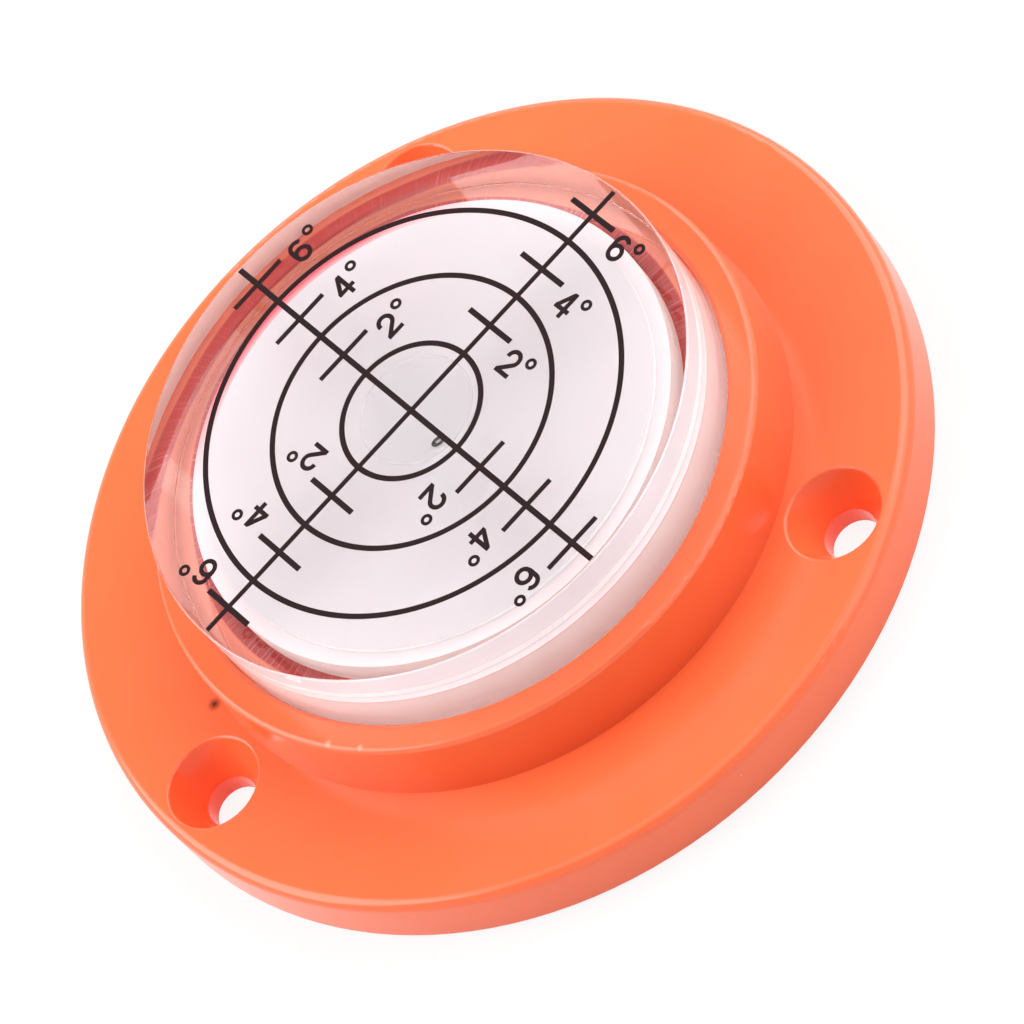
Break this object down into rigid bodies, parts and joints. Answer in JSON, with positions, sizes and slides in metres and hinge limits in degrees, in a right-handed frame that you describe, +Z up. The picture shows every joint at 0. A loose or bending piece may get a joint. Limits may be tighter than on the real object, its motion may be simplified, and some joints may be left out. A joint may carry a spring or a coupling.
{
  "type": "angle bubble level",
  "caption": "Round flanged level with a clear circular vial in a raised collar, a ringed degree scale with crosshair on top, and recessed screw holes in the flange.",
  "frame": {"origin": "centre of the flange's underside, which is the mounting face", "axes": "+Z up through the vial; the printed crosshair lies along X and Y; one screw hole is on -X and the others are 60 degrees either side of +X"},
  "size_m": [0.093, 0.093, 0.0231],
  "materials": {
    "orange_housing": "moulded, semi-gloss orange",
    "clear_acrylic": "polished clear",
    "white_backing": "satin white",
    "vial_liquid": "clear liquid",
    "black_ink": "screen-printed black"
  },
  "bodies": {
    "root": {"flanged_base": "orange_housing", "vial_body": "clear_acrylic", "back_disc": "white_backing", "fill_plug": "white_backing", "liquid_fill": "vial_liquid", "printed_scale": "black_ink"}
  },
  "joints": []
}
